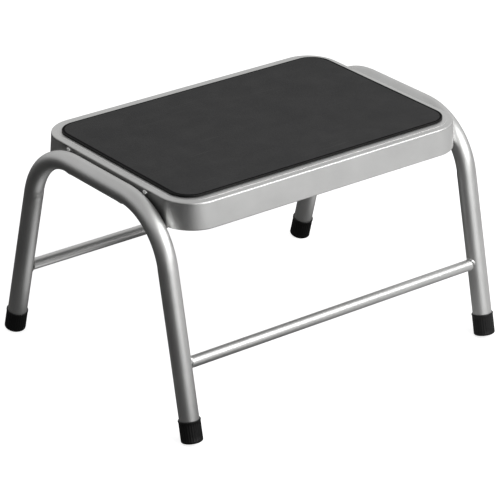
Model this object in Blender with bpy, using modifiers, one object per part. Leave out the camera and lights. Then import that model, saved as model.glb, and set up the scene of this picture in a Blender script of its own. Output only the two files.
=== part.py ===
"""Step stool: a pressed steel tread tray with a rubber mat, welded between two bent tube leg frames.

Metres, +Z up, +X along the tread, front at -Y. The origin is on the floor under the middle of the tread.
Run with: blender --background --python part.py
"""
import math

import bmesh
import bpy
from mathutils import Vector

# Tread tray, pressed from sheet with a rounded rim, a deep skirt and a safe folded edge
TRAY_LENGTH = 0.397
TRAY_DEPTH = 0.270
TRAY_TOP = 0.2562
TRAY_SKIRT = 0.0317
TRAY_CORNER = 0.040
TRAY_RIM_ROUND = 0.0030
TRAY_SHEET = 0.0012
HEM_HEIGHT = 0.0065
HEM_GAP = 0.0005

# Mat bonded to the top of the tray
MAT_MARGIN_ENDS = 0.0115
MAT_MARGIN_SIDES = 0.01635
MAT_CORNER = 0.0255
MAT_THICKNESS = 0.0026
MAT_EDGE_ROUND = 0.0009

# Leg frames: one tube each, bent twice into a splayed U that stands against the end of the tray
TUBE_DIAMETER = 0.022
TUBE_WALL = 0.0012
FOOT_SPREAD = 0.3336
LEG_SPLAY = math.radians(13.35)
BEND_RADIUS = 0.076
TUBE_ABOVE_RIM = 0.0004

# Cross bars between the two frames, front and rear
BAR_DIAMETER = 0.013
BAR_WALL = 0.0010
BAR_HEIGHT = 0.0843

# Ferrule feet pushed on the tube ends
FERRULE_HEIGHT = 0.0250
FERRULE_WALL = 0.0010
FERRULE_BASE = 0.0050
FERRULE_LIP = 0.0003
FERRULE_LIP_HEIGHT = 0.0016
FERRULE_EDGE_ROUND = 0.0015
FERRULE_PRESSED_FLAT = 0.0006

# Weld beads
BAR_BEAD = 0.0044
BAR_BEAD_WIDTH = 0.0042
TACK_LENGTH = 0.0100
TACK_THICKNESS = 0.0046
TACK_FROM_TRAY = 0.0015
TACK_PAST_BEND = 0.0205
SEAM_LENGTH = 0.050
SEAM_THICKNESS = 0.0056

# How far a tack rises above, and a seam hangs below, the line where tube and tray touch, in tube radii
TACK_RISE = 0.80
SEAM_DROP = 0.75

# Gap between pieces that touch, how far the floor block reaches past the feet, and how finely round
# shapes are cut
CONTACT_GAP = 0.0003
BORE_GAP = 0.0001
FLOOR_MARGIN = 0.100
CORNER_STEPS = 8
RIM_STEPS = 3
HEM_STEPS = 4
MAT_EDGE_STEPS = 2
TUBE_SIDES = 20
BEND_STEPS = 10
FERRULE_SIDES = 28
FERRULE_EDGE_STEPS = 3
BEAD_SIDES = 14
BEAD_RINGS = 8
WELD_DISTANCE = 1e-6

# Places that follow from the sizes above
TUBE_RADIUS = TUBE_DIAMETER / 2
BAR_RADIUS = BAR_DIAMETER / 2
FRAME_X = TRAY_LENGTH / 2 + CONTACT_GAP + TUBE_RADIUS
TOP_RUN_HEIGHT = TRAY_TOP + TUBE_ABOVE_RIM - TUBE_RADIUS
FERRULE_BORE = TUBE_RADIUS + BORE_GAP
FERRULE_RADIUS = FERRULE_BORE + FERRULE_WALL
SOLE_HEIGHT = (
    (FERRULE_RADIUS - FERRULE_EDGE_ROUND) * math.sin(LEG_SPLAY)
    + FERRULE_EDGE_ROUND * (1 - math.cos(LEG_SPLAY))
    - FERRULE_PRESSED_FLAT
)
MAT_LENGTH = TRAY_LENGTH - 2 * MAT_MARGIN_ENDS
MAT_DEPTH = TRAY_DEPTH - 2 * MAT_MARGIN_SIDES
MAT_BOTTOM = TRAY_TOP + CONTACT_GAP
HEM_TURN = TRAY_SHEET + HEM_GAP / 2

# Sides of the stool: name and sign along the axis
ENDS = (("left", -1), ("right", 1))
FACES = (("front", -1), ("rear", 1))


def leg_axis_y(height):
    """Distance of a leg's axis from the middle of the stool at a height above the floor."""
    return FOOT_SPREAD / 2 - (height - SOLE_HEIGHT) * math.tan(LEG_SPLAY)


def bend_start_y():
    """Distance from the middle of the stool at which a frame's straight top run starts to bend."""
    turn = math.pi / 2 - LEG_SPLAY
    return leg_axis_y(TOP_RUN_HEIGHT) - BEND_RADIUS * math.tan(turn / 2)


def clear_scene():
    for old in list(bpy.data.objects):
        bpy.data.objects.remove(old, do_unlink=True)


def new_collection(name):
    collection = bpy.data.collections.new(name)
    bpy.context.scene.collection.children.link(collection)
    return collection


def new_material(name, colour, roughness, metallic):
    material = bpy.data.materials.new(name)
    material.use_nodes = True
    shader = material.node_tree.nodes["Principled BSDF"]
    shader.inputs["Base Color"].default_value = (*colour, 1.0)
    shader.inputs["Roughness"].default_value = roughness
    shader.inputs["Metallic"].default_value = metallic
    material.diffuse_color = (*colour, 1.0)
    return material


def silver_coat(name):
    """Satin silver powder coat on steel."""
    return new_material(name, (0.50, 0.50, 0.49), 0.36, 0.75)


def black_rubber(name):
    return new_material(name, (0.028, 0.028, 0.029), 0.70, 0.0)


def black_vinyl(name):
    return new_material(name, (0.016, 0.016, 0.017), 0.50, 0.0)


def mesh_object(name, bm, collection, material=None):
    mesh = bpy.data.meshes.new(name)
    bm.to_mesh(mesh)
    bm.free()
    part = bpy.data.objects.new(name, mesh)
    collection.objects.link(part)
    if material is not None:
        mesh.materials.append(material)
        mesh.shade_smooth()
        mesh.set_sharp_from_angle(angle=math.radians(35))
    return part


def cutter_object(name, bm, collection):
    cutter = mesh_object(name, bm, collection)
    cutter.hide_render = True
    cutter.display_type = "WIRE"
    return cutter


def cut_with(part, *cutters):
    for cutter in cutters:
        modifier = part.modifiers.new("cut by " + cutter.name, "BOOLEAN")
        modifier.operation = "DIFFERENCE"
        modifier.solver = "EXACT"
        modifier.object = cutter


def solidify_inwards(part, wall):
    modifier = part.modifiers.new("wall", "SOLIDIFY")
    modifier.thickness = wall
    modifier.offset = -1.0
    modifier.use_even_offset = True


def face_outwards(bm):
    """Turn all faces the same way, outwards, also on a sheet or a tube that is still open."""
    bmesh.ops.recalc_face_normals(bm, faces=bm.faces)
    middle = sum((point.co for point in bm.verts), Vector()) / len(bm.verts)
    outward = 0.0
    for face in bm.faces:
        outward += (face.calc_center_median() - middle).dot(face.normal) * face.calc_area()
    if outward < 0:
        bmesh.ops.reverse_faces(bm, faces=bm.faces)


def rounded_plate(length, depth, corner, height):
    """One flat face with round corners, as a new bmesh, lying at a height."""
    bm = bmesh.new()
    bmesh.ops.create_grid(bm, x_segments=1, y_segments=1, size=0.5)
    bmesh.ops.scale(bm, verts=bm.verts, vec=(length, depth, 1.0))
    bmesh.ops.translate(bm, verts=bm.verts, vec=(0.0, 0.0, height))
    bmesh.ops.bevel(
        bm,
        geom=list(bm.verts),
        offset=corner,
        offset_type="OFFSET",
        segments=CORNER_STEPS,
        profile=0.5,
        affect="VERTICES",
    )
    return bm


def extrude_rim_down(bm, rim, depth):
    """Pull a new wall down from the open edges in rim, and return the new open edges."""
    pulled = bmesh.ops.extrude_edge_only(bm, edges=rim)["geom"]
    corners = [item for item in pulled if isinstance(item, bmesh.types.BMVert)]
    bmesh.ops.translate(bm, verts=corners, vec=(0.0, 0.0, -depth))
    return [item for item in pulled if isinstance(item, bmesh.types.BMEdge)]


def shift_inwards(corners, length, depth, corner, inset):
    """Move points of a rounded rectangle straight in towards the centres of its corners."""
    for point in corners:
        centre_x = math.copysign(length / 2 - corner, point.co.x)
        centre_y = math.copysign(depth / 2 - corner, point.co.y)
        outwards = Vector((point.co.x - centre_x, point.co.y - centre_y, 0.0)).normalized()
        point.co -= outwards * inset


def fold_hem(bm, rim):
    """Turn the lower edge of the skirt inwards and up again round a small radius."""
    for step in range(1, HEM_STEPS + 1):
        before = math.pi * (step - 1) / HEM_STEPS
        after = math.pi * step / HEM_STEPS
        drop = HEM_TURN * (math.sin(after) - math.sin(before))
        inset = HEM_TURN * (math.cos(before) - math.cos(after))
        rim = extrude_rim_down(bm, rim, drop)
        corners = {corner for edge in rim for corner in edge.verts}
        shift_inwards(corners, TRAY_LENGTH, TRAY_DEPTH, TRAY_CORNER, inset)
    extrude_rim_down(bm, rim, -HEM_HEIGHT)


def add_tray(collection):
    """Tray: flat top, rounded rim, skirt and folded hem as one sheet."""
    bm = rounded_plate(TRAY_LENGTH, TRAY_DEPTH, TRAY_CORNER, TRAY_TOP)
    top_edges = list(bm.edges)
    rim = extrude_rim_down(bm, top_edges, TRAY_SKIRT - HEM_TURN)
    fold_hem(bm, rim)
    bmesh.ops.bevel(
        bm,
        geom=top_edges,
        offset=TRAY_RIM_ROUND,
        segments=RIM_STEPS,
        profile=0.5,
        affect="EDGES",
    )
    face_outwards(bm)
    tray = mesh_object("tread_tray", bm, collection, silver_coat("tray_silver_coat"))
    solidify_inwards(tray, TRAY_SHEET)
    return tray


def rounded_block(length, depth, corner, bottom, top, edge_round, edge_steps):
    """Closed block with round corners and a rounded upper edge."""
    bm = rounded_plate(length, depth, corner, top)
    top_edges = list(bm.edges)
    rim = extrude_rim_down(bm, top_edges, top - bottom)
    bmesh.ops.contextual_create(bm, geom=rim)
    bmesh.ops.bevel(
        bm,
        geom=top_edges,
        offset=edge_round,
        segments=edge_steps,
        profile=0.5,
        affect="EDGES",
    )
    face_outwards(bm)
    return bm


def add_mat(collection):
    bm = rounded_block(
        MAT_LENGTH,
        MAT_DEPTH,
        MAT_CORNER,
        MAT_BOTTOM,
        MAT_BOTTOM + MAT_THICKNESS,
        MAT_EDGE_ROUND,
        edge_steps=MAT_EDGE_STEPS,
    )
    return mesh_object("anti_slip_mat", bm, collection, black_rubber("mat_black_rubber"))


def frame_axis(end_height):
    """Axis of one leg frame in its own plane, from the front tube end to the rear one, as (y, z)."""
    turn = math.pi / 2 - LEG_SPLAY
    half = []
    for step in range(BEND_STEPS + 1):
        angle = turn * step / BEND_STEPS
        y = bend_start_y() + BEND_RADIUS * math.sin(angle)
        z = TOP_RUN_HEIGHT - BEND_RADIUS * (1 - math.cos(angle))
        half.append((y, z))
    half.append((leg_axis_y(end_height), end_height))
    front = [(-y, z) for y, z in reversed(half)]
    return front + half


def tube_mesh(name, x, radius, end_height, capped):
    """Mesh of a tube along one leg frame's axis, made from a bevelled curve."""
    curve = bpy.data.curves.new(name, "CURVE")
    curve.dimensions = "3D"
    curve.bevel_depth = radius
    curve.bevel_resolution = (TUBE_SIDES - 4) // 2
    curve.use_fill_caps = capped
    axis = frame_axis(end_height)
    spline = curve.splines.new("POLY")
    spline.points.add(len(axis) - 1)
    for point, (y, z) in zip(spline.points, axis):
        point.co = (x, y, z, 1.0)
    path = bpy.data.objects.new(name, curve)
    bpy.context.scene.collection.objects.link(path)
    bpy.context.view_layer.update()
    evaluated = path.evaluated_get(bpy.context.evaluated_depsgraph_get())
    mesh = bpy.data.meshes.new_from_object(evaluated)
    bm = bmesh.new()
    bm.from_mesh(mesh)
    bmesh.ops.transform(bm, matrix=path.matrix_world, verts=bm.verts)
    bmesh.ops.remove_doubles(bm, verts=bm.verts, dist=WELD_DISTANCE)
    face_outwards(bm)
    bpy.data.objects.remove(path, do_unlink=True)
    bpy.data.curves.remove(curve)
    bpy.data.meshes.remove(mesh)
    return bm


def add_leg_frame(collection, end, side):
    """One bent tube, open at both ends, which the ferrules close."""
    end_height = SOLE_HEIGHT + (FERRULE_BASE + CONTACT_GAP) * math.cos(LEG_SPLAY)
    name = "leg_frame_" + end
    bm = tube_mesh(name + "_axis", side * FRAME_X, TUBE_RADIUS, end_height, capped=False)
    frame = mesh_object(name, bm, collection, silver_coat(name + "_silver_coat"))
    solidify_inwards(frame, TUBE_WALL)
    return frame


def frame_cutter(collection, end, side):
    """Solid copy of a leg frame, fatter by the contact gap, that trims what is welded to the frame."""
    bm = tube_mesh("frame_trim", side * FRAME_X, TUBE_RADIUS + CONTACT_GAP, SOLE_HEIGHT, capped=True)
    return cutter_object("frame_cutter_" + end, bm, collection)


def round_bar(radius, length, capped):
    """Cylinder along X about its middle, as a new bmesh."""
    bm = bmesh.new()
    bmesh.ops.create_cone(
        bm,
        cap_ends=capped,
        segments=TUBE_SIDES,
        radius1=radius,
        radius2=radius,
        depth=length,
    )
    for point in bm.verts:
        point.co = Vector((point.co.z, point.co.y, -point.co.x))
    face_outwards(bm)
    return bm


def add_cross_bar(collection, face, sign):
    """Tube cut square at both ends, which butts on the inner side of each leg."""
    length = 2 * (FRAME_X - TUBE_RADIUS - CONTACT_GAP)
    name = "cross_bar_" + face
    bm = round_bar(BAR_RADIUS, length, capped=False)
    bar = mesh_object(name, bm, collection, silver_coat(name + "_silver_coat"))
    bar.location = (0.0, sign * leg_axis_y(BAR_HEIGHT), BAR_HEIGHT)
    solidify_inwards(bar, BAR_WALL)
    return bar


def bar_cutter(collection, face, sign):
    """Long solid bar, fatter by the contact gap, that trims the beads round a cross bar."""
    bm = round_bar(BAR_RADIUS + CONTACT_GAP, 2 * FRAME_X, capped=True)
    cutter = cutter_object("bar_cutter_" + face, bm, collection)
    cutter.location = (0.0, sign * leg_axis_y(BAR_HEIGHT), BAR_HEIGHT)
    return cutter


def ferrule_profile():
    """Half section of a ferrule: bore floor, bore, lip, outer side, rounded sole edge, sole."""
    lip_radius = FERRULE_RADIUS + FERRULE_LIP
    profile = [
        (0.0, FERRULE_BASE),
        (FERRULE_BORE, FERRULE_BASE),
        (FERRULE_BORE, FERRULE_HEIGHT),
        (lip_radius, FERRULE_HEIGHT),
        (lip_radius, FERRULE_HEIGHT - FERRULE_LIP_HEIGHT),
        (FERRULE_RADIUS, FERRULE_HEIGHT - FERRULE_LIP_HEIGHT - FERRULE_LIP),
    ]
    for step in range(FERRULE_EDGE_STEPS + 1):
        angle = math.pi / 2 * step / FERRULE_EDGE_STEPS
        radius = FERRULE_RADIUS - FERRULE_EDGE_ROUND * (1 - math.cos(angle))
        height = FERRULE_EDGE_ROUND * (1 - math.sin(angle))
        profile.append((radius, height))
    profile.append((0.0, 0.0))
    return profile


def add_foot(collection, floor, face, end, sign, side):
    """Cup turned about the leg's axis; its tilted sole is pressed flat where it meets the floor."""
    bm = bmesh.new()
    line = [bm.verts.new((radius, 0.0, height)) for radius, height in ferrule_profile()]
    for first, second in zip(line, line[1:]):
        bm.edges.new((first, second))
    name = "foot_" + face + "_" + end
    foot = mesh_object(name, bm, collection, black_vinyl(name + "_black_vinyl"))
    screw = foot.modifiers.new("turn", "SCREW")
    screw.axis = "Z"
    screw.steps = FERRULE_SIDES
    screw.render_steps = FERRULE_SIDES
    screw.use_merge_vertices = True
    screw.merge_threshold = WELD_DISTANCE
    screw.use_smooth_shade = True
    foot.location = (side * FRAME_X, sign * FOOT_SPREAD / 2, SOLE_HEIGHT)
    foot.rotation_euler = (sign * LEG_SPLAY, 0.0, 0.0)
    cut_with(foot, floor)
    return foot


def floor_cutter(collection):
    """Block whose upper face is the floor."""
    bm = bmesh.new()
    bmesh.ops.create_cube(bm, size=1.0)
    block = cutter_object("floor_cutter", bm, collection)
    block.scale = (2 * (FRAME_X + FLOOR_MARGIN), FOOT_SPREAD + 2 * FLOOR_MARGIN, FERRULE_HEIGHT)
    block.location = (0.0, 0.0, -FERRULE_HEIGHT / 2)
    return block


def tray_cutter(collection):
    """Solid block of the tray's outer form, larger by the contact gap."""
    bm = rounded_block(
        TRAY_LENGTH + 2 * CONTACT_GAP,
        TRAY_DEPTH + 2 * CONTACT_GAP,
        TRAY_CORNER + CONTACT_GAP,
        TRAY_TOP - TRAY_SKIRT - CONTACT_GAP,
        TRAY_TOP + CONTACT_GAP,
        TRAY_RIM_ROUND + CONTACT_GAP,
        edge_steps=RIM_STEPS,
    )
    return cutter_object("tray_cutter", bm, collection)


def add_bead(collection, name, centre, half_sizes, tilt, cutters):
    """Weld metal: an ellipsoid in the corner between two pieces, trimmed back to both."""
    bm = bmesh.new()
    bmesh.ops.create_uvsphere(bm, u_segments=BEAD_SIDES, v_segments=BEAD_RINGS, radius=1.0)
    bmesh.ops.scale(bm, verts=bm.verts, vec=half_sizes)
    bead = mesh_object(name, bm, collection, silver_coat(name + "_silver_coat"))
    bead.location = centre
    bead.rotation_euler = (tilt, 0.0, 0.0)
    cut_with(bead, *cutters)
    return bead


def add_bar_beads(collection, frame_trim, bar_trim, face, end, sign, side):
    """Two beads where a bar butts on a leg, above and below it."""
    corner_x = side * (FRAME_X - TUBE_RADIUS - CONTACT_GAP)
    tilt = sign * LEG_SPLAY
    for place, upwards in (("upper", 1), ("lower", -1)):
        height = BAR_HEIGHT + upwards * (BAR_RADIUS + CONTACT_GAP)
        name = "weld_bar_" + face + "_" + end + "_" + place
        add_bead(
            collection,
            name,
            (corner_x, sign * leg_axis_y(height), height),
            (BAR_BEAD / 2 + CONTACT_GAP, BAR_BEAD_WIDTH, BAR_BEAD / 2 + CONTACT_GAP),
            tilt,
            (frame_trim, bar_trim),
        )


def add_tray_welds(collection, frame_trim, tray_trim, end, side):
    """Two short tacks in the groove above a frame's top run, and one seam in the groove below it."""
    groove_x = side * (TRAY_LENGTH / 2 + TACK_FROM_TRAY)
    bend_drop = BEND_RADIUS - math.sqrt(BEND_RADIUS ** 2 - TACK_PAST_BEND ** 2)
    for face, sign in FACES:
        y = sign * (bend_start_y() + TACK_PAST_BEND)
        add_bead(
            collection,
            "weld_tray_" + end + "_" + face,
            (groove_x, y, TOP_RUN_HEIGHT - bend_drop + TACK_RISE * TUBE_RADIUS),
            (TACK_THICKNESS / 2, TACK_LENGTH / 2, TACK_THICKNESS / 2),
            0.0,
            (frame_trim, tray_trim),
        )
    add_bead(
        collection,
        "weld_tray_" + end + "_under",
        (groove_x, 0.0, TOP_RUN_HEIGHT - SEAM_DROP * TUBE_RADIUS),
        (SEAM_THICKNESS / 2, SEAM_LENGTH / 2, SEAM_THICKNESS / 2),
        0.0,
        (frame_trim, tray_trim),
    )


def build():
    clear_scene()
    parts = new_collection("step_stool")
    trims = new_collection("cutters")
    floor = floor_cutter(trims)
    tray_trim = tray_cutter(trims)
    bar_trims = {face: bar_cutter(trims, face, sign) for face, sign in FACES}

    add_tray(parts)
    add_mat(parts)
    for face, sign in FACES:
        add_cross_bar(parts, face, sign)
    for end, side in ENDS:
        frame_trim = frame_cutter(trims, end, side)
        add_leg_frame(parts, end, side)
        add_tray_welds(parts, frame_trim, tray_trim, end, side)
        for face, sign in FACES:
            add_foot(parts, floor, face, end, sign, side)
            add_bar_beads(parts, frame_trim, bar_trims[face], face, end, sign, side)


build()
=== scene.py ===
"""Step stool: rubber matted steel tread tray between two bent tube leg frames."""
import math

import bmesh
import bpy
from mathutils import Matrix, Vector, noise


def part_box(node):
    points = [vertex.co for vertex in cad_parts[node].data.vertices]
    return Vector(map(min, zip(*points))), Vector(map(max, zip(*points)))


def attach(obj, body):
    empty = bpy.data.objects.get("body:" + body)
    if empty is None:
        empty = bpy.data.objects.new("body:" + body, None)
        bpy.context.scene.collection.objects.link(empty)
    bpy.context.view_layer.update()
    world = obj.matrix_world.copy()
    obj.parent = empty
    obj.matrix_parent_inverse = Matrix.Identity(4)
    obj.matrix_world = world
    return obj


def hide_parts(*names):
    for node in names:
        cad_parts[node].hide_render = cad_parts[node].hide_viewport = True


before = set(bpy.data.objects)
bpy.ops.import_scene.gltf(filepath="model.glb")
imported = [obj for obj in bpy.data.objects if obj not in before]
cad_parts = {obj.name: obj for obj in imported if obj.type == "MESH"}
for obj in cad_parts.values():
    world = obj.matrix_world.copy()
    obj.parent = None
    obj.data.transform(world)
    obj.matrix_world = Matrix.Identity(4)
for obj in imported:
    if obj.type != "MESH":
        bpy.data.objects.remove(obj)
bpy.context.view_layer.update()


# ---------------------------------------------------------------------------
# Tread tray. One blank of 1.2 mm steel, pressed with a low raised panel for the mat, a rounded
# rim and a deep skirt, its raw edge folded in and up. Satin silver powder coat inside and out; the
# inside copy is painted darker as shade under the tray, and painted shade darkens the skirt in the
# groove beside each leg frame.
tray_low, tray_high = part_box("tread_tray")
TRAY_LENGTH = tray_high.x - tray_low.x
TRAY_DEPTH = tray_high.y - tray_low.y
TRAY_BOTTOM = tray_low.z
TRAY_CORNER = 0.040
SHEET = 0.0012
RIM_TOP = tray_high.z - 0.0001
RIM_ROUND = 0.0020
PANEL_TOP = tray_high.z + 0.0003
PANEL_INSET = 0.0092
PANEL_SLOPE = 0.0012
PANEL_CREST = 0.00016
PANEL_STEPS = 8
SKIRT_DRAFT = 0.0015
HEM_HEIGHT = 0.0065
HEM_GAP = 0.0005
CUT_EDGE = 0.0001
# Where the painted shade in the groove beside each leg frame starts, is full, and fades out at the rear.
GROOVE_SHADE_FROM = 0.0012
GROOVE_SHADE_FULL = 0.0003
GROOVE_SHADE_REAR_END = 0.085
GROOVE_SHADE_REAR_FADE = 0.004
CORNER_STEPS = 20
SIDE_FRACTIONS = (0.006, 0.08, 0.2, 0.35, 0.5, 0.65, 0.8, 0.92, 0.994)


def share_between(value, start, end):
    """How far a value has gone from start to end, held at 0 and 1."""
    return min(max((value - start) / (end - start), 0.0), 1.0)


def rounded_outline(length, depth, corner, height):
    """Points of a rounded rectangle, anticlockwise from the right front corner."""
    arcs = []
    for turn, (side_x, side_y) in enumerate(((1, -1), (1, 1), (-1, 1), (-1, -1))):
        centre = Vector((side_x * (length / 2 - corner), side_y * (depth / 2 - corner), height))
        angles = [math.radians(90) * (turn - 1 + step / CORNER_STEPS) for step in range(CORNER_STEPS + 1)]
        arcs.append([centre + Vector((math.cos(angle), math.sin(angle), 0)) * corner for angle in angles])
    outline = []
    for arc, following in zip(arcs, arcs[1:] + arcs[:1]):
        outline += arc
        outline += [arc[-1].lerp(following[0], fraction) for fraction in SIDE_FRACTIONS]
    return outline


def lofted_piece(name, rings, wear=None, draw=None, groove=None, sharp_angle=40):
    """Closed skin over a row of rings of equal count, with a flat cap on the first and the last.

    wear has one value a ring; draw and groove have one a point, for the lines left by drawing and
    for the painted shade in the groove beside a leg frame.
    """
    count = len(rings[0])
    points = [point for ring in rings for point in ring]
    faces = [list(range(count))]
    for first in range(len(rings) - 1):
        low = first * count
        for step in range(count):
            following = (step + 1) % count
            faces.append((low + step, low + following, low + count + following, low + count + step))
    last = (len(rings) - 1) * count
    faces.append(list(range(last + count - 1, last - 1, -1)))
    mesh = bpy.data.meshes.new(name)
    mesh.from_pydata(points, [], faces)
    worn = mesh.attributes.new("edge", "FLOAT", "POINT")
    worn.data.foreach_set("value", [value for value in (wear or [0.0] * len(rings)) for _ in range(count)])
    # The groove value carries painted shade beside the leg frames.
    if groove:
        groove_shade = mesh.attributes.new("groove", "FLOAT", "POINT")
        groove_shade.data.foreach_set("value", groove)
    if draw:
        drawn = mesh.attributes.new("drawn", "FLOAT_VECTOR", "POINT")
        drawn.data.foreach_set("vector", [number for vector in draw for number in vector])
    shell = bmesh.new()
    shell.from_mesh(mesh)
    bmesh.ops.recalc_face_normals(shell, faces=shell.faces)
    if shell.calc_volume(signed=True) < 0:
        bmesh.ops.reverse_faces(shell, faces=shell.faces)
    shell.to_mesh(mesh)
    shell.free()
    mesh.shade_smooth()
    mesh.set_sharp_from_angle(angle=math.radians(sharp_angle))
    piece = bpy.data.objects.new(name, mesh)
    bpy.context.scene.collection.objects.link(piece)
    return piece


def arc_profile(centre_inset, centre_height, radius, start, end, steps, wear):
    """Points (inset, height, wear) on a quarter or half round of the tray's section."""
    points = []
    for step in range(steps + 1):
        angle = math.radians(start + (end - start) * step / steps)
        points.append((centre_inset + radius * math.cos(angle),
                       centre_height + radius * math.sin(angle), wear))
    return points


def eased(part):
    """Soft start and soft end between 0 and 1."""
    return part * part * (3 - 2 * part)


RIM_CENTRE = SKIRT_DRAFT + RIM_ROUND
RIM_BEND_Z = RIM_TOP - RIM_ROUND
PANEL_RISE = PANEL_TOP - RIM_TOP
SLOPE_END = PANEL_INSET - PANEL_SLOPE
HEM_TURN = SHEET + HEM_GAP / 2
HEM_CENTRE = TRAY_BOTTOM + HEM_TURN
HEM_TOP = HEM_CENTRE + HEM_HEIGHT


def outside_profile():
    """Outer side of the tray's section: from the middle of the panel, over the rim, round the hem."""
    profile = [(PANEL_INSET + 0.0060, PANEL_TOP, 0), (PANEL_INSET + 0.0008, PANEL_TOP, 0)]
    for step in range(PANEL_STEPS + 1):
        part = step / PANEL_STEPS
        crest = PANEL_CREST * math.sin(math.pi * min(part * 2, 1.0)) ** 2
        height = PANEL_TOP - PANEL_RISE * eased(part) + crest
        profile.append((PANEL_INSET - PANEL_SLOPE * part, height, 0.05))
    profile += [(SLOPE_END - 0.0006, RIM_TOP, 0), (RIM_CENTRE + 0.0004, RIM_TOP, 0)]
    profile += arc_profile(RIM_CENTRE, RIM_BEND_Z, RIM_ROUND, 90, 180, 12, 0.35)
    profile += [(SKIRT_DRAFT - 0.00002, RIM_BEND_Z - 0.0004, 0), (0, HEM_CENTRE + 0.0004, 0.1)]
    profile += arc_profile(HEM_TURN, HEM_CENTRE, HEM_TURN, 180, 360, 10, 1.0)
    profile += [(2 * HEM_TURN, HEM_TOP - CUT_EDGE, 0.9), (2 * HEM_TURN - CUT_EDGE, HEM_TOP, 1.0)]
    return profile


def inside_profile():
    """Inner side of the tray's section: down the folded edge, up inside the skirt, under the panel."""
    folded = 2 * HEM_TURN - SHEET
    profile = [(folded + CUT_EDGE, HEM_TOP, 1.0), (folded, HEM_TOP - CUT_EDGE, 0.9)]
    profile += arc_profile(HEM_TURN, HEM_CENTRE, HEM_GAP / 2, 360, 180, 4, 0)
    profile += arc_profile(RIM_CENTRE, RIM_BEND_Z, RIM_ROUND - SHEET, 180, 90, 8, 0.1)
    profile.append((SLOPE_END - 0.0002, RIM_TOP - SHEET, 0))
    for step in range(PANEL_STEPS - 1):
        part = step / (PANEL_STEPS - 2)
        height = RIM_TOP - SHEET + PANEL_RISE * eased(part)
        profile.append((SLOPE_END + 0.0004 + PANEL_SLOPE * part, height, 0))
    profile += [(PANEL_INSET + 0.0030, PANEL_TOP - SHEET, 0), (PANEL_INSET + 0.0080, PANEL_TOP - SHEET, 0)]
    return profile


def new_group(name, inputs, outputs):
    """Empty shader node group; inputs and outputs are (socket name, socket type, value)."""
    group = bpy.data.node_groups.new(name, "ShaderNodeTree")
    for socket_name, kind, value in inputs:
        socket = group.interface.new_socket(socket_name, in_out="INPUT", socket_type=kind)
        socket.default_value = value
    for socket_name, kind in outputs:
        group.interface.new_socket(socket_name, in_out="OUTPUT", socket_type=kind)
    return group, group.nodes.new("NodeGroupInput"), group.nodes.new("NodeGroupOutput")


def add_node(tree, kind, values=None, **settings):
    """One node, with plain values or links given by socket name or number."""
    node = tree.nodes.new(kind)
    for setting, value in settings.items():
        setattr(node, setting, value)
    for socket, value in (values or {}).items():
        if isinstance(value, bpy.types.NodeSocket):
            tree.links.new(value, node.inputs[socket])
        else:
            node.inputs[socket].default_value = value
    return node


def maths(tree, operation, first, second=0.0, third=0.0, clamp=False):
    """Result socket of one sum, product or comparison."""
    node = add_node(tree, "ShaderNodeMath", {0: first, 1: second, 2: third},
                    operation=operation, use_clamp=clamp)
    return node.outputs[0]


def remap(tree, value, low, high, new_low=0.0, new_high=1.0):
    """Stretch a value from one range to another, held at both ends."""
    node = add_node(tree, "ShaderNodeMapRange", {
        "Value": value, "From Min": low, "From Max": high, "To Min": new_low, "To Max": new_high})
    return node.outputs[0]


def place_group(tree, group, values):
    """Put a group in a material with that material's own values."""
    return add_node(tree, "ShaderNodeGroup", values, node_tree=group)


def mix_colour(tree, mask, first, second):
    """Colour between two, by a mask."""
    return add_node(tree, "ShaderNodeMix", {0: mask, 6: first, 7: second}, data_type="RGBA").outputs[2]


FLAKE_DEPTH = 0.18


def build_coat_grain():
    """Powder coat: a soft orange peel, fine metal flake and broad cloudiness from spraying."""
    group, given, result = new_group(
        "coat grain",
        [("Peel Scale", "NodeSocketFloat", 420.0), ("Flake Scale", "NodeSocketFloat", 1900.0),
         ("Cloud Scale", "NodeSocketFloat", 22.0)],
        [("Height", "NodeSocketFloat"), ("Tone", "NodeSocketFloat"), ("Flake", "NodeSocketFloat")])
    place = group.nodes.new("ShaderNodeTexCoord").outputs["Object"]
    peel = add_node(group, "ShaderNodeTexNoise",
                    {"Vector": place, "Scale": given.outputs["Peel Scale"], "Detail": 2.0})
    flake = add_node(group, "ShaderNodeTexVoronoi",
                     {"Vector": place, "Scale": given.outputs["Flake Scale"]})
    cloud = add_node(group, "ShaderNodeTexNoise",
                     {"Vector": place, "Scale": given.outputs["Cloud Scale"], "Detail": 3.0})
    height = maths(group, "MULTIPLY_ADD", flake.outputs["Color"], FLAKE_DEPTH, peel.outputs["Fac"])
    group.links.new(height, result.inputs["Height"])
    group.links.new(remap(group, cloud.outputs["Fac"], 0.3, 0.7), result.inputs["Tone"])
    group.links.new(flake.outputs["Color"], result.inputs["Flake"])
    return group


def build_edge_wear():
    """Coat thinned and rubbed along edges: the edge value of the mesh, broken up by noise."""
    group, given, result = new_group(
        "edge wear",
        [("Amount", "NodeSocketFloat", 1.0), ("Patch Scale", "NodeSocketFloat", 160.0)],
        [("Worn", "NodeSocketFloat")])
    place = group.nodes.new("ShaderNodeTexCoord").outputs["Object"]
    edge = add_node(group, "ShaderNodeAttribute", attribute_name="edge").outputs["Fac"]
    patch = add_node(group, "ShaderNodeTexNoise",
                     {"Vector": place, "Scale": given.outputs["Patch Scale"], "Detail": 4.0})
    broken = remap(group, patch.outputs["Fac"], 0.42, 0.68)
    worn = maths(group, "MULTIPLY", edge, broken)
    group.links.new(maths(group, "MULTIPLY", worn, given.outputs["Amount"], clamp=True),
                    result.inputs["Worn"])
    return group


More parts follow.
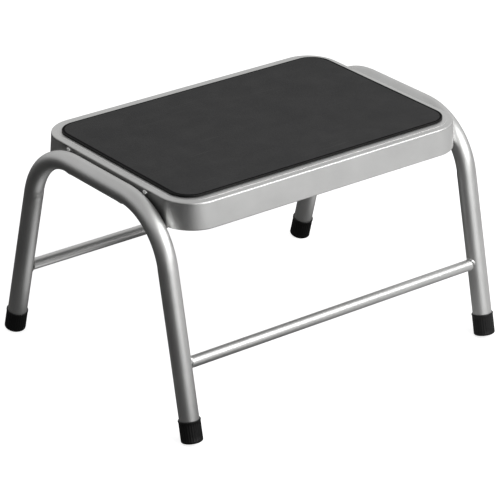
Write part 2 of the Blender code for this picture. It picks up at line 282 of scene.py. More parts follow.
def build_settled_dust():
    """Fine dust and finger marks that lie on faces turned upwards."""
    group, given, result = new_group(
        "settled dust",
        [("Amount", "NodeSocketFloat", 0.3), ("Patch Scale", "NodeSocketFloat", 35.0)],
        [("Dust", "NodeSocketFloat")])
    place = group.nodes.new("ShaderNodeTexCoord").outputs["Object"]
    normal = group.nodes.new("ShaderNodeNewGeometry").outputs["Normal"]
    up = add_node(group, "ShaderNodeSeparateXYZ", {0: normal}).outputs["Z"]
    patch = add_node(group, "ShaderNodeTexNoise",
                     {"Vector": place, "Scale": given.outputs["Patch Scale"], "Detail": 5.0})
    lying = maths(group, "MULTIPLY", remap(group, up, 0.3, 0.95),
                  remap(group, patch.outputs["Fac"], 0.4, 0.75))
    group.links.new(maths(group, "MULTIPLY", lying, given.outputs["Amount"], clamp=True),
                    result.inputs["Dust"])
    return group


coat_grain = build_coat_grain()
edge_wear = build_edge_wear()
settled_dust = build_settled_dust()
COAT_DARK = (0.66, 0.66, 0.653, 1)
COAT_LIGHT = (0.73, 0.73, 0.722, 1)
COAT_WORN = (0.82, 0.82, 0.81, 1)
COAT_DUST = (0.74, 0.73, 0.71, 1)
GROOVE_PAINTED_SHADE = (0.10, 0.10, 0.10, 1)
# Tones of the inside coat, painted darker than the outside as shade under the tray.
INSIDE_SHADED_DARK = (0.34, 0.34, 0.336, 1)
INSIDE_SHADED_LIGHT = (0.46, 0.46, 0.455, 1)
FLAKE_SMOOTHER = 0.03
FLAKE_ROUGHER = 0.05
DUST_ROUGHER = 0.2
COAT_METALLIC = 0.95


def silver_coat(name, colours=(COAT_DARK, COAT_LIGHT), roughness=0.42, peel=0.00006,
                flake_scale=1900.0, wear=0.5, dust=0.25):
    """Satin silver powder coat with its own grain, wear and dust."""
    material = bpy.data.materials.new(name)
    material.use_nodes = True
    tree = material.node_tree
    shader = tree.nodes["Principled BSDF"]
    grain = place_group(tree, coat_grain, {"Flake Scale": flake_scale}).outputs
    worn = place_group(tree, edge_wear, {"Amount": wear}).outputs["Worn"]
    dusty = place_group(tree, settled_dust, {"Amount": dust}).outputs["Dust"]
    colour = mix_colour(tree, grain["Tone"], *colours)
    colour = mix_colour(tree, worn, colour, COAT_WORN)
    colour = mix_colour(tree, dusty, colour, COAT_DUST)
    clean = remap(tree, grain["Flake"], 0.0, 1.0, roughness - FLAKE_SMOOTHER, roughness + FLAKE_ROUGHER)
    rough = maths(tree, "MULTIPLY_ADD", dusty, DUST_ROUGHER, clean)
    bump = add_node(tree, "ShaderNodeBump", {"Strength": 1.0, "Distance": peel, "Height": grain["Height"]})
    tree.links.new(colour, shader.inputs["Base Color"])
    tree.links.new(rough, shader.inputs["Roughness"])
    tree.links.new(bump.outputs["Normal"], shader.inputs["Normal"])
    shader.inputs["Metallic"].default_value = COAT_METALLIC
    return material


def paint_groove_shade(tree, shader):
    """Painted shade: a darker coat on the skirt in the groove beside each leg frame, by the groove value of
    the mesh.
    """
    groove_shade = add_node(tree, "ShaderNodeAttribute", attribute_name="groove").outputs["Fac"]
    full = shader.inputs["Base Color"].links[0].from_socket
    tree.links.new(mix_colour(tree, groove_shade, full, GROOVE_PAINTED_SHADE), shader.inputs["Base Color"])


def groove_shade_share(point, inset):
    """How much painted shade a point of the tray takes in the groove beside a leg frame."""
    along = share_between(TRAY_LENGTH / 2 - inset - abs(point.x), GROOVE_SHADE_FROM, GROOVE_SHADE_FULL)
    below = share_between(point.z, RIM_TOP - RIM_ROUND * 0.5, RIM_TOP - RIM_ROUND * 1.5)
    past_end = share_between(point.y, GROOVE_SHADE_REAR_END, GROOVE_SHADE_REAR_END + GROOVE_SHADE_REAR_FADE)
    return along * below * (1 - past_end)


tray_outside = outside_profile()
tray_rings, tray_wear, tray_groove_shade = [], [], []
for inset, height, wear in tray_outside + inside_profile():
    tray_rings.append(rounded_outline(TRAY_LENGTH - 2 * inset, TRAY_DEPTH - 2 * inset,
                                      TRAY_CORNER - inset, height))
    tray_wear.append(wear)
    tray_groove_shade += [groove_shade_share(point, inset) for point in tray_rings[-1]]
tread = lofted_piece("tread_tray_pressed", tray_rings, tray_wear, sharp_angle=50, groove=tray_groove_shade)
tray_coat = silver_coat("tray silver coat")
# Painted shade: the skirt is coloured darker in the groove beside each leg frame.
paint_groove_shade(tray_coat.node_tree, tray_coat.node_tree.nodes["Principled BSDF"])
tread.data.materials.append(tray_coat)
# The inside is a copy of the coat painted darker, as shade under the tray.
tread.data.materials.append(
    silver_coat("tray inside coat painted shade", (INSIDE_SHADED_DARK, INSIDE_SHADED_LIGHT), roughness=0.5, wear=0.3, dust=0.0))
for face in tread.data.polygons[1:]:
    band = (face.index - 1) // len(tray_rings[0])
    face.material_index = int(band >= len(tray_outside))
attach(tread, "root")
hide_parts("tread_tray")


# ---------------------------------------------------------------------------
# Mat. Black moulded rubber bonded to the panel: a finely grained field inside a smooth, slightly
# lower border, with square cut walls.
mat_low, mat_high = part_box("anti_slip_mat")
MAT_LENGTH = mat_high.x - mat_low.x
MAT_DEPTH = mat_high.y - mat_low.y
MAT_TOP = mat_high.z
MAT_BOTTOM = mat_low.z
MAT_CORNER = 0.0255
MAT_EDGE_ROUND = 0.0006
BORDER_AT_ENDS = 0.0034
BORDER_AT_SIDES = 0.0027
BORDER_DROP = 0.00030
SCUFF_SLANTS = ((23, 0.03), (-52, 0.05))
MAT_BLACK = (0.0205, 0.0205, 0.021, 1)
MAT_GREY = (0.0235, 0.0235, 0.024, 1)
MAT_DUST = (0.060, 0.059, 0.058, 1)
BORDER_BLACK = (0.004, 0.004, 0.0042, 1)
BORDER_GREY = (0.006, 0.006, 0.0062, 1)
WALL_GREY = (0.007, 0.007, 0.0072, 1)
PEBBLE_ROUGHER = 0.06


def build_rubber_grain():
    """Moulded rubber: small pebbles, and slow change of tone from the press."""
    group, given, result = new_group(
        "rubber grain",
        [("Pebble Scale", "NodeSocketFloat", 900.0), ("Cloud Scale", "NodeSocketFloat", 14.0)],
        [("Height", "NodeSocketFloat"), ("Tone", "NodeSocketFloat"), ("Pebble", "NodeSocketFloat")])
    place = group.nodes.new("ShaderNodeTexCoord").outputs["Object"]
    pebble = add_node(group, "ShaderNodeTexVoronoi",
                      {"Vector": place, "Scale": given.outputs["Pebble Scale"]}, feature="SMOOTH_F1")
    fine = add_node(group, "ShaderNodeTexNoise",
                    {"Vector": place, "Scale": given.outputs["Pebble Scale"], "Detail": 4.0})
    cloud = add_node(group, "ShaderNodeTexNoise",
                     {"Vector": place, "Scale": given.outputs["Cloud Scale"], "Detail": 4.0})
    dome = maths(group, "SUBTRACT", 1.0, pebble.outputs["Distance"])
    height = maths(group, "MULTIPLY_ADD", fine.outputs["Fac"], 0.5, dome)
    group.links.new(height, result.inputs["Height"])
    group.links.new(remap(group, cloud.outputs["Fac"], 0.32, 0.68), result.inputs["Tone"])
    group.links.new(remap(group, dome, 0.3, 0.9), result.inputs["Pebble"])
    return group


def build_scuffs():
    """Faint light scuffs that shoes leave on the mat, in long thin strokes at two slants."""
    group, given, result = new_group(
        "shoe scuffs", [("Amount", "NodeSocketFloat", 0.3), ("Stroke Scale", "NodeSocketFloat", 320.0)],
        [("Scuff", "NodeSocketFloat")])
    place = group.nodes.new("ShaderNodeTexCoord").outputs["Object"]
    strokes = []
    for slant, squeeze in SCUFF_SLANTS:
        turned = add_node(group, "ShaderNodeMapping", {
            "Vector": place, "Rotation": (0, 0, math.radians(slant)), "Scale": (squeeze, 1, 1)}).outputs[0]
        stroke = add_node(group, "ShaderNodeTexNoise", {
            "Vector": turned, "Scale": given.outputs["Stroke Scale"], "Detail": 1.0, "Distortion": 0.5})
        strokes.append(remap(group, stroke.outputs["Fac"], 0.63, 0.76))
    patch = add_node(group, "ShaderNodeTexNoise", {"Vector": place, "Scale": 12.0, "Detail": 2.0})
    worn_patch = remap(group, patch.outputs["Fac"], 0.46, 0.64)
    both = maths(group, "MAXIMUM", *strokes)
    shown = maths(group, "MULTIPLY", both, worn_patch)
    group.links.new(maths(group, "MULTIPLY", shown, given.outputs["Amount"], clamp=True),
                    result.inputs["Scuff"])
    return group


rubber_grain = build_rubber_grain()
shoe_scuffs = build_scuffs()


def rubber(name, colours, roughness, specular, depth, pebble_scale, dust, scuff=0.0):
    """Matt moulded rubber; colours are its dark, its light and its dusty tone, depth its grain's."""
    dark, light, dusty_colour = colours
    material = bpy.data.materials.new(name)
    material.use_nodes = True
    tree = material.node_tree
    shader = tree.nodes["Principled BSDF"]
    grain = place_group(tree, rubber_grain, {"Pebble Scale": pebble_scale}).outputs
    dusty = place_group(tree, settled_dust, {"Amount": dust}).outputs["Dust"]
    worn = place_group(tree, edge_wear, {"Amount": 0.5}).outputs["Worn"]
    colour = mix_colour(tree, grain["Tone"], dark, light)
    colour = mix_colour(tree, dusty, colour, dusty_colour)
    colour = mix_colour(tree, worn, colour, dusty_colour)
    if scuff:
        scuffed = place_group(tree, shoe_scuffs, {"Amount": scuff}).outputs["Scuff"]
        colour = mix_colour(tree, scuffed, colour, dusty_colour)
    rough = remap(tree, grain["Pebble"], 0.0, 1.0, roughness + PEBBLE_ROUGHER, roughness - PEBBLE_ROUGHER)
    bump = add_node(tree, "ShaderNodeBump", {"Strength": 1.0, "Distance": depth, "Height": grain["Height"]})
    tree.links.new(colour, shader.inputs["Base Color"])
    tree.links.new(rough, shader.inputs["Roughness"])
    tree.links.new(bump.outputs["Normal"], shader.inputs["Normal"])
    shader.inputs["Specular IOR Level"].default_value = specular
    return material


def mat_ring(border_share, further, height):
    """Outline of the mat at a share of the border's width, and then further in."""
    inset_ends = border_share * BORDER_AT_ENDS + further
    inset_sides = border_share * BORDER_AT_SIDES + further
    corner = max(MAT_CORNER - (inset_ends + inset_sides) / 2, 0.003)
    return rounded_outline(MAT_LENGTH - 2 * inset_ends, MAT_DEPTH - 2 * inset_sides, corner, height)


def mat_profile():
    """Field, border and wall of the mat, each as (border share, further in, height, wear)."""
    border_top = MAT_TOP - BORDER_DROP
    field = [(1, 0.0200, MAT_TOP, 0), (1, 0.0008, MAT_TOP, 0), (1, 0.0004, MAT_TOP, 0.2)]
    field += [(1, 0.0002, MAT_TOP - 0.00005, 0.3), (1, 0, border_top + 0.00006, 0)]
    border = [(0.94, 0, border_top, 0), (0, MAT_EDGE_ROUND + 0.0002, border_top, 0)]
    wall = []
    for step in range(5):
        angle = math.radians(90 * step / 4)
        wall.append((0, MAT_EDGE_ROUND * (1 - math.sin(angle)),
                     border_top - MAT_EDGE_ROUND * (1 - math.cos(angle)), 0.15))
    wall += [(0, 0, MAT_BOTTOM + 0.0002, 0), (0, 0, MAT_BOTTOM, 0)]
    wall += [(0, 0.0004, MAT_BOTTOM, 0), (0, 0.0200, MAT_BOTTOM, 0)]
    return field, border, wall


mat_field, mat_border, mat_wall = mat_profile()
mat_sections = mat_field + mat_border + mat_wall
mat = lofted_piece("anti_slip_mat_moulded", [mat_ring(*section[:3]) for section in mat_sections],
                   [section[3] for section in mat_sections], sharp_angle=35)
mat.data.materials.append(rubber(
    "mat field rubber", (MAT_BLACK, MAT_GREY, MAT_DUST), roughness=0.72, specular=0.35,
    depth=0.00012, pebble_scale=900.0, dust=0.2, scuff=0.35))
mat.data.materials.append(rubber(
    "mat border rubber", (BORDER_BLACK, BORDER_GREY, MAT_DUST), roughness=0.80, specular=0.06,
    depth=0.00005, pebble_scale=1400.0, dust=0.03))
mat.data.materials.append(rubber(
    "mat wall rubber", (BORDER_BLACK, WALL_GREY, MAT_DUST), roughness=0.40, specular=0.15,
    depth=0.00003, pebble_scale=1400.0, dust=0.02))
ring_length = len(mat_ring(0, 0, MAT_TOP))
for face in mat.data.polygons[1:]:
    band = (face.index - 1) // ring_length
    on_border = band >= len(mat_field) - 1
    on_wall = band >= len(mat_field) + len(mat_border) - 1
    face.material_index = int(on_border) + int(on_wall)
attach(mat, "root")
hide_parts("anti_slip_mat")


# ---------------------------------------------------------------------------
# Leg frames. Each is one round steel tube bent cold in two places into a splayed U; the bends are
# pressed a little flat, with a faint mark of the former where each bend starts.
frame_low, frame_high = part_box("leg_frame_right")
TUBE_RADIUS = (frame_high.x - frame_low.x) / 2
FRAME_X = (frame_high.x + frame_low.x) / 2
TOP_RUN_Z = frame_high.z - TUBE_RADIUS
TUBE_END_Z = frame_low.z + 0.0030
LEG_SPLAY = math.radians(13.35)
BEND_RADIUS = 0.076
FOOT_Y = 0.1668
SOLE_Z = 0.00189
TUBE_SIDES = 56
BEND_STEPS = 30
PRESS_INSIDE = 0.00130
PRESS_OUTSIDE = 0.00030
PRESS_RUN_IN = 0.0035
FORMER_RIDGE = 0.00070
RIDGE_FROM_BEND = 0.0025
RIDGE_WIDTH = 0.0022


def leg_axis_y(height):
    """Distance of a leg's axis from the stool's middle at a height."""
    return FOOT_Y - (height - SOLE_Z) * math.tan(LEG_SPLAY)


BEND_TURN = math.radians(90) - LEG_SPLAY
BEND_START_Y = leg_axis_y(TOP_RUN_Z) - BEND_RADIUS * math.tan(BEND_TURN / 2)


def half_frame_axis():
    """Axis of a frame from the middle of its top run to the rear tube end: (y, z, direction, bend)."""
    stations = []
    for y in (0.0, 0.012, 0.024, 0.034):
        stations.append((y, TOP_RUN_Z, 0.0, 0.0))
    for before in (0.010, 0.008, 0.006, 0.004, 0.002):
        stations.append((BEND_START_Y - before, TOP_RUN_Z, 0.0, -before))
    for step in range(BEND_STEPS + 1):
        angle = BEND_TURN * step / BEND_STEPS
        stations.append((BEND_START_Y + BEND_RADIUS * math.sin(angle),
                         TOP_RUN_Z - BEND_RADIUS * (1 - math.cos(angle)), angle,
                         BEND_RADIUS * angle))
    end_y, end_z = stations[-1][0], stations[-1][1]
    length = (end_z - TUBE_END_Z) / math.cos(LEG_SPLAY)
    distances = (0.002, 0.004, 0.006, 0.008, 0.012, 0.03, 0.06, 0.09, 0.12, 0.15)
    for distance in [place for place in distances if place < length] + [length]:
        stations.append((end_y + distance * math.sin(LEG_SPLAY), end_z - distance * math.cos(LEG_SPLAY),
                         BEND_TURN, BEND_RADIUS * BEND_TURN + distance))
    return stations


def pressed(along, outward):
    """How far the wall is pushed in at a distance past the bend's start; outward is 1 on top of it."""
    length = BEND_RADIUS * BEND_TURN
    into = share_between(along, 0.0, PRESS_RUN_IN) * share_between(along, length, length - PRESS_RUN_IN)
    inner = max(-outward, 0.0) ** 1.2
    outer = max(outward, 0.0) ** 2
    first_ridge = math.exp(-((along + RIDGE_FROM_BEND) / RIDGE_WIDTH) ** 2)
    last_ridge = math.exp(-((along - length - RIDGE_FROM_BEND) / RIDGE_WIDTH) ** 2)
    ridge = FORMER_RIDGE * (first_ridge + 0.4 * last_ridge)
    return into * (PRESS_INSIDE * inner + PRESS_OUTSIDE * outer) - ridge * inner


def bent_tube(name, side):
    """Whole frame, as a ring of points at every station of its axis."""
    half = half_frame_axis()
    axis = [(-y, z, -turn, bend) for y, z, turn, bend in reversed(half[1:])] + half
    rings, draw = [], []
    travelled = 0.0
    for number, (y, z, turn, bend) in enumerate(axis):
        if number:
            travelled += math.hypot(y - axis[number - 1][0], z - axis[number - 1][1])
        outward = Vector((0, math.sin(turn), math.cos(turn)))
        ring = []
        for step in range(TUBE_SIDES):
            angle = math.radians(360) * step / TUBE_SIDES
            up = math.sin(angle)
            radius = TUBE_RADIUS - (pressed(bend, up) if bend else 0.0)
            across = Vector((math.cos(angle), 0, 0))
            ring.append(Vector((side * FRAME_X, y, z)) + (across * TUBE_RADIUS) + outward * up * radius)
            draw.append((math.cos(angle) * TUBE_RADIUS, up * TUBE_RADIUS, travelled))
        rings.append(ring)
    return lofted_piece(name, rings, draw=draw, sharp_angle=50)


def build_draw_lines():
    """Faint lines that the drawing die leaves along a tube, just felt under the coat."""
    group, given, result = new_group(
        "draw lines",
        [("Line Scale", "NodeSocketFloat", 900.0), ("Length Scale", "NodeSocketFloat", 6.0)],
        [("Line", "NodeSocketFloat")])
    drawn = add_node(group, "ShaderNodeAttribute", attribute_name="drawn").outputs["Vector"]
    parts = add_node(group, "ShaderNodeSeparateXYZ", {0: drawn}).outputs
    place = add_node(group, "ShaderNodeCombineXYZ", {
        "X": maths(group, "MULTIPLY", parts["X"], given.outputs["Line Scale"]),
        "Y": maths(group, "MULTIPLY", parts["Y"], given.outputs["Line Scale"]),
        "Z": maths(group, "MULTIPLY", parts["Z"], given.outputs["Length Scale"])}).outputs[0]
    line = add_node(group, "ShaderNodeTexNoise", {"Vector": place, "Scale": 1.0, "Detail": 2.0})
    group.links.new(remap(group, line.outputs["Fac"], 0.25, 0.75), result.inputs["Line"])
    return group


draw_lines = build_draw_lines()
LINE_DEPTH = 0.35


def drawn_coat(name, **finish):
    """Silver coat over drawn tube: the same coat, with the tube's lines showing faintly."""
    material = silver_coat(name, **finish)
    tree = material.node_tree
    bump = next(node for node in tree.nodes if node.bl_idname == "ShaderNodeBump")
    line = place_group(tree, draw_lines, {"Line Scale": 900.0}).outputs["Line"]
    height = maths(tree, "MULTIPLY_ADD", line, LINE_DEPTH, bump.inputs["Height"].links[0].from_socket)
    tree.links.new(height, bump.inputs["Height"])
    return material


for end, side in (("left", -1), ("right", 1)):
    leg_frame = bent_tube("leg_frame_" + end + "_bent_tube", side)
    leg_frame.data.materials.append(drawn_coat("leg frame " + end + " silver coat", roughness=0.44))
    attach(leg_frame, "root")
    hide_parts("leg_frame_" + end)


# ---------------------------------------------------------------------------
# Welds between frames and tray: two short tacks in the groove on top of each end and one longer
# seam in the groove below. Rippled weld metal, coated with the frame.
BEAD_SIDES = 14
BEAD_UNEVENNESS = 0.10
TACK_LIFT_LEFT = 0.0014
TACK_REACH = 0.6
STEPS_A_RIPPLE = 8


def weld_bead(name, middle_line, across, rise, ripples, seed):
    """Rippled bead along a line of points; across and rise are its half width and half height."""
    rings, wear = [], []
    count = len(middle_line)
    for number, (point, sideways, upwards) in enumerate(middle_line):
        part = number / (count - 1)
        taper = math.sin(math.pi * min(max(part, 0.02), 0.98)) ** 0.35
        ripple = 1.0 + BEAD_UNEVENNESS * math.cos(2 * math.pi * ripples * part)
        ring = []
        for step in range(BEAD_SIDES):
            angle = 2 * math.pi * step / BEAD_SIDES
            lump = 1.0 + BEAD_UNEVENNESS * noise.noise(Vector((part * ripples * 1.7, angle, seed)))
            size = taper * ripple * lump
            ring.append(point + sideways * math.cos(angle) * across * size
                        + upwards * math.sin(angle) * rise * size)
        rings.append(ring)
        wear.append(0.25)
    return lofted_piece(name, rings, wear, sharp_angle=60)


weld_coat = silver_coat("weld silver coat", roughness=0.30, peel=0.00010, wear=0.4, dust=0.1)


def groove_line(low, high, lift, reach_share, steps):
    """Straight line along Y through a weld's own box, with the directions of its section."""
    x, z = (low.x + high.x) / 2, (low.z + high.z) / 2 + lift
    middle, reach = (low.y + high.y) / 2, (high.y - low.y) / 2 * reach_share
    return [(Vector((x, middle + reach * (2 * step / steps - 1), z)), Vector((1, 0, 0)), Vector((0, 0, 1)))
            for step in range(steps + 1)]


for end in ("left", "right"):
    tack_lift = TACK_LIFT_LEFT if end == "left" else 0.0
    for place, ripples, lift, reach_share, swell in (("front", 2, tack_lift, TACK_REACH, 0.95),
                                                     ("rear", 2, tack_lift, TACK_REACH, 0.95),
                                                     ("under", 18, 0.0, 1.0, 0.9)):
        node = "weld_tray_" + end + "_" + place
        low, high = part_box(node)
        line = groove_line(low, high, lift, reach_share, ripples * STEPS_A_RIPPLE)
        bead = weld_bead(node + "_bead", line, (high.x - low.x) / 2 * 0.8, (high.z - low.z) / 2 * swell,
                         ripples, low.y * 100)
        bead.data.materials.append(weld_coat)
        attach(bead, "root")
        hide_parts(node)


# ---------------------------------------------------------------------------
# Cross bars. Two thin round tubes cut square, butted between the legs low down, front and rear.
# The rear one's coat is taken to be a little smoother.
BAR_SIDES = 40
BAR_END_ROUND = 0.0003


def straight_bar(name, low, high):
    """Tube along X that fills a box, its ends just broken."""
    radius = (high.z - low.z) / 2
    y, z = (low.y + high.y) / 2, (low.z + high.z) / 2
    stations = [low.x, low.x + 0.0001, low.x + 0.0004, low.x + 0.002]
    stations += [low.x + (high.x - low.x) * step / 12 for step in range(1, 12)]
    stations += [high.x - 0.002, high.x - 0.0004, high.x - 0.0001, high.x]
    rings, draw, wear = [], [], []
    for x in stations:
        from_end = min(x - low.x, high.x - x)
        size = radius - (BAR_END_ROUND if from_end < 0.00005 else 0.0)
        wear.append(0.7 if from_end < 0.0005 else 0.0)
        ring = []
        for step in range(BAR_SIDES):
            angle = 2 * math.pi * step / BAR_SIDES
            ring.append(Vector((x, y + size * math.cos(angle), z + size * math.sin(angle))))
            draw.append((radius * math.cos(angle), radius * math.sin(angle), x))
        rings.append(ring)
    return lofted_piece(name, rings, wear, draw, sharp_angle=50)


for face, bar_roughness in (("front", 0.46), ("rear", 0.32)):
    low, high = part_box("cross_bar_" + face)
    bar = straight_bar("cross_bar_" + face + "_tube", low, high)
    bar.data.materials.append(drawn_coat("cross bar " + face + " silver coat", roughness=bar_roughness))
    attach(bar, "root")
    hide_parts("cross_bar_" + face)


# ---------------------------------------------------------------------------
# Welds at the bar ends: a bead over the top of each end and a smaller one beneath it, each laid
# round the bar where it meets the leg.
bar_low, bar_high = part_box("cross_bar_front")
BAR_RADIUS = (bar_high.z - bar_low.z) / 2
BAR_Z = (bar_high.z + bar_low.z) / 2
BAR_Y = abs(bar_high.y + bar_low.y) / 2


def saddle_line(side, face_sign, start, end, steps):
    """Line round a bar's end on the leg's surface; angles in degrees from the top towards the outside."""
    line = []
    for step in range(steps + 1):
        angle = math.radians(start + (end - start) * step / steps)
        outwards = Vector((0, face_sign * math.sin(angle), math.cos(angle)))
        on_bar = Vector((0, face_sign * BAR_Y, BAR_Z)) + outwards * (BAR_RADIUS + 0.0003)
        from_axis = (on_bar.y * face_sign - leg_axis_y(on_bar.z)) * math.cos(LEG_SPLAY)
        reach = math.sqrt(max(TUBE_RADIUS ** 2 - from_axis ** 2, 0.0))
        on_bar.x = side * (FRAME_X - reach - 0.0002)
        line.append((on_bar, Vector((1, 0, 0)), outwards))
    return line


for end, side in (("left", -1), ("right", 1)):
    for face, face_sign in (("front", -1), ("rear", 1)):
        for place, start, finish, size in (("upper", -40, 75, 0.0019), ("lower", 150, 215, 0.0015)):
            node = "weld_bar_" + face + "_" + end + "_" + place
            bead = weld_bead(node + "_bead", saddle_line(side, face_sign, start, finish, 40),
                             size, size * 0.8, 5, side * 3 + face_sign)
            bead.data.materials.append(weld_coat)
            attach(bead, "root")
            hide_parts(node)


# ---------------------------------------------------------------------------
# Feet. Black vinyl ferrules pushed on the tube ends: a plain lip, fine upright ribs, and a rounded
# sole that the stool's weight presses flat on the floor.
FERRULE_RADIUS = 0.0121
FERRULE_LIP = 0.0124
FERRULE_BORE = 0.0111
FERRULE_HEIGHT = 0.0250
FERRULE_BASE = 0.0050
RIB_COUNT = 28
RIB_DEPTH = 0.00040
RIB_POINTS = 6
SOLE_ROUND = 0.0018
SOLE_MIDDLE = 0.0004
FOOT_BLACK = (0.005, 0.005, 0.0052, 1)
FOOT_GREY = (0.009, 0.009, 0.0092, 1)
FOOT_DUST = (0.05, 0.049, 0.047, 1)
foot_rubber = rubber(
    "ferrule vinyl", (FOOT_BLACK, FOOT_GREY, FOOT_DUST), roughness=0.42, specular=0.35,
    depth=0.00004, pebble_scale=1300.0, dust=0.15)


def ferrule_sections():
    """(radius, height, rib share, wear) from the middle of the sole up the side and down the bore."""
    sections = [(SOLE_MIDDLE, 0.0, 0, 0), (0.0060, 0.0, 0, 0), (FERRULE_RADIUS - 0.0024, 0.0, 0, 0)]
    for step in range(7):
        angle = math.radians(90 * step / 6)
        sections.append((FERRULE_RADIUS - SOLE_ROUND * (1 - math.sin(angle)),
                         SOLE_ROUND * (1 - math.cos(angle)), 0, 0.5))
    sections += [(FERRULE_RADIUS, 0.0026, 0, 0.2), (FERRULE_RADIUS, 0.0031, 0.3, 0)]
    sections += [(FERRULE_RADIUS, height, 1, 0) for height in (0.0036, 0.008, 0.014, 0.019, 0.0222)]
    sections += [(FERRULE_RADIUS, 0.0227, 0.3, 0), (FERRULE_RADIUS, 0.0230, 0, 0)]
    sections += [(FERRULE_LIP, 0.0234, 0, 0.3), (FERRULE_LIP, 0.0246, 0, 0.3)]
    sections += [(FERRULE_LIP - 0.0002, 0.0249, 0, 0.4), (FERRULE_LIP - 0.0005, FERRULE_HEIGHT, 0, 0.2)]
    sections += [(FERRULE_BORE + 0.0003, FERRULE_HEIGHT, 0, 0), (FERRULE_BORE, FERRULE_HEIGHT - 0.0004, 0, 0)]
    sections += [(FERRULE_BORE, FERRULE_BASE, 0, 0), (SOLE_MIDDLE, FERRULE_BASE, 0, 0)]
    return sections


def ferrule(name, side, face_sign):
    """One foot, turned with its leg and pressed flat where it would dip under the floor."""
    place = Matrix.Translation((side * FRAME_X, face_sign * FOOT_Y, SOLE_Z))
    place = place @ Matrix.Rotation(face_sign * LEG_SPLAY, 4, "X")
    rings, wear = [], []
    for radius, height, rib, rubbed in ferrule_sections():
        ring = []
        for step in range(RIB_COUNT * RIB_POINTS):
            angle = 2 * math.pi * step / (RIB_COUNT * RIB_POINTS)
            groove = (0.5 - 0.5 * math.cos(RIB_COUNT * angle)) ** 0.8
            size = radius - RIB_DEPTH * rib * groove
            point = place @ Vector((size * math.cos(angle), size * math.sin(angle), height))
            point.z = max(point.z, 0.0)
            ring.append(point)
        rings.append(ring)
        wear.append(rubbed)
    return lofted_piece(name, rings, wear, sharp_angle=60)


for end, side in (("left", -1), ("right", 1)):
    for face, face_sign in (("front", -1), ("rear", 1)):
        foot = ferrule("foot_" + face + "_" + end + "_ferrule", side, face_sign)
        foot.data.materials.append(foot_rubber)
        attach(foot, "root")
        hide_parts("foot_" + face + "_" + end)


# ---------------------------------------------------------------------------
# Studio: a pale floor, a large soft key light at the front right, a low strip light in front, and a
# camera with a long lens, high to the left of the front. What only reflections see is graded: the
# world is dark at the left and front and pale at the right and back; the floor carries painted light
# and shade, dark at the left and pale at the front right, and glows under its middle and in two patches.
FLOOR_HALF = 12.0
FLOOR_PAINTED_LIT_SIDE = (0.77, -0.64, 0)
FLOOR_GLOW_PATCHES = ((-0.13, 0.03, 0), (0.31, 0.03, 0))
FLOOR_PAINTED_SHADE = 0.05
FLOOR_PAINTED_LIGHT = 0.67
FLOOR_SEEN = 0.6
FLOOR_SEEN_GLOW = 0.8
MIDDLE_GLOW = 0.06
PATCH_GLOW = 0.75
WORLD_LIT_SIDE = (0.24, 0.37, 1)
WORLD_DARK = 0.03
WORLD_LIT = 0.66
WORLD_OVERHEAD = 0.40
WORLD_SEEN = 0.95
MIDDLE = (0, 0, 0)
UP = (0, 0, 1)


def grey(value):
    return (value, value, value, 1)


def towards(tree, place, direction):
    """How far a place lies in a direction."""
    return add_node(tree, "ShaderNodeVectorMath", {0: place, 1: direction},
                    operation="DOT_PRODUCT").outputs["Value"]


def away_from(tree, place, point):
    """Distance of a place from a point."""
    return add_node(tree, "ShaderNodeVectorMath", {0: place, 1: point},
                    operation="DISTANCE").outputs["Value"]


def floor_paint():
    """Near white where the camera sees it; off the camera, painted light and shade graded from dark at the
    left to pale at the front right, with a faint glow under the middle and two glowing patches.
    """
    material = bpy.data.materials.new("pale floor")
    material.use_nodes = True
    tree = material.node_tree
    shader = tree.nodes["Principled BSDF"]
    seen = tree.nodes.new("ShaderNodeLightPath").outputs["Is Camera Ray"]
    place = tree.nodes.new("ShaderNodeTexCoord").outputs["Object"]
    # Painted light and shade on the floor, off the camera only: dark at the left, pale at the front right.
    lit_share = remap(tree, towards(tree, place, FLOOR_PAINTED_LIT_SIDE), 0.08, 0.42)
    painted_grade = mix_colour(tree, lit_share, grey(FLOOR_PAINTED_SHADE), grey(FLOOR_PAINTED_LIGHT))
    # Painted light: the floor glows faintly under the middle and strongly in two patches, off the camera
    # only.
    beyond = remap(tree, away_from(tree, place, MIDDLE), 0.15, 0.45)
    glow = mix_colour(tree, beyond, grey(MIDDLE_GLOW), grey(0))
    for patch in FLOOR_GLOW_PATCHES:
        outside = remap(tree, away_from(tree, place, patch), 0.05, 0.12)
        glow = mix_colour(tree, outside, grey(PATCH_GLOW), glow)
    tree.links.new(mix_colour(tree, seen, painted_grade, grey(FLOOR_SEEN)), shader.inputs["Base Color"])
    tree.links.new(mix_colour(tree, seen, glow, grey(FLOOR_SEEN_GLOW)), shader.inputs["Emission Color"])
    shader.inputs["Emission Strength"].default_value = 1.0
    shader.inputs["Roughness"].default_value = 0.9
    shader.inputs["Specular IOR Level"].default_value = 0.0
    return material


def pale_floor():
    half = FLOOR_HALF
    corners = [(-half, -half, 0), (half, -half, 0), (half, half, 0), (-half, half, 0)]
    mesh = bpy.data.meshes.new("studio_floor")
    mesh.from_pydata(corners, [], [(0, 1, 2, 3)])
    mesh.materials.append(floor_paint())
    floor = bpy.data.objects.new("studio_floor", mesh)
    bpy.context.scene.collection.objects.link(floor)
    return floor


pale_floor()


def soft_light(name, place, target, width, height, power):
    """Rectangular light that points at a target and that the camera doesn't see."""
    data = bpy.data.lights.new(name, "AREA")
    data.shape = "RECTANGLE"
    data.size, data.size_y = width, height
    data.energy = power
    light = bpy.data.objects.new(name, data)
    light.location = place
    light.rotation_euler = (Vector(target) - Vector(place)).to_track_quat("-Z", "Y").to_euler()
    light.visible_camera = False
    bpy.context.scene.collection.objects.link(light)


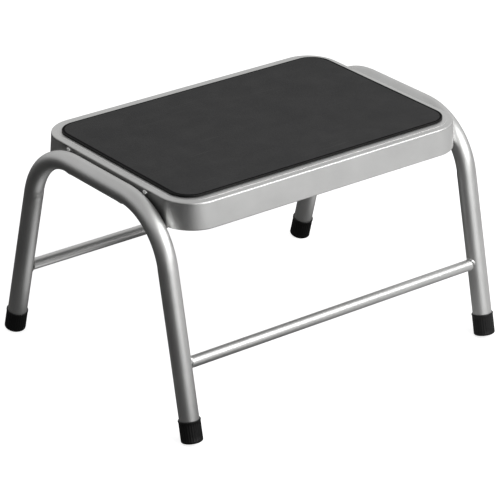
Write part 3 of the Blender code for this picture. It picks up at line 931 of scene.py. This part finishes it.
soft_light("key", (0.60, -1.43, 1.32), (0, 0, 0.15), width=1.6, height=0.95, power=23.5)
soft_light("low front", (-0.22, -1.50, 0.35), (-0.1, -0.1, 0.1), width=1.35, height=0.4, power=3.4)


def studio_surround():
    """White where the camera sees it; in reflections pale behind and above, dark at the front left."""
    world = bpy.data.worlds.new("studio")
    world.use_nodes = True
    tree = world.node_tree
    seen = tree.nodes.new("ShaderNodeLightPath").outputs["Is Camera Ray"]
    place = tree.nodes.new("ShaderNodeTexCoord").outputs["Generated"]
    lit_share = remap(tree, towards(tree, place, WORLD_LIT_SIDE), 0.08, 0.45)
    around = mix_colour(tree, lit_share, grey(WORLD_DARK), grey(WORLD_LIT))
    overhead = remap(tree, towards(tree, place, UP), 0.65, 0.95)
    around = mix_colour(tree, overhead, around, grey(WORLD_OVERHEAD))
    shown = mix_colour(tree, seen, around, grey(WORLD_SEEN))
    tree.links.new(shown, tree.nodes["Background"].inputs["Color"])
    return world


bpy.context.scene.world = studio_surround()
bpy.context.scene.view_settings.view_transform = "Standard"

CAMERA_PLACE = (-1.79796, -2.23227, 1.46912)
CAMERA_TURN = math.radians(-38.82)
CAMERA_PITCH = math.radians(25.49)
CAMERA_ROLL = math.radians(1.04)
CAMERA_LENS = 202.95
CAMERA_SENSOR = 36.0
back = Vector((math.sin(CAMERA_TURN) * math.cos(CAMERA_PITCH),
               -math.cos(CAMERA_TURN) * math.cos(CAMERA_PITCH), math.sin(CAMERA_PITCH)))
right = Vector((math.cos(CAMERA_TURN), math.sin(CAMERA_TURN), 0))
up = back.cross(right)
rolled_right = right * math.cos(CAMERA_ROLL) + up * math.sin(CAMERA_ROLL)
rolled_up = up * math.cos(CAMERA_ROLL) - right * math.sin(CAMERA_ROLL)
camera_data = bpy.data.cameras.new("camera")
camera_data.lens = CAMERA_LENS
camera_data.sensor_width = CAMERA_SENSOR
camera_data.clip_end = 4 * FLOOR_HALF
camera = bpy.data.objects.new("camera", camera_data)
bpy.context.scene.collection.objects.link(camera)
camera.matrix_world = Matrix.Translation(CAMERA_PLACE) @ Matrix(
    (rolled_right, rolled_up, back)).transposed().to_4x4()
bpy.context.scene.camera = camera

bpy.context.view_layer.update()
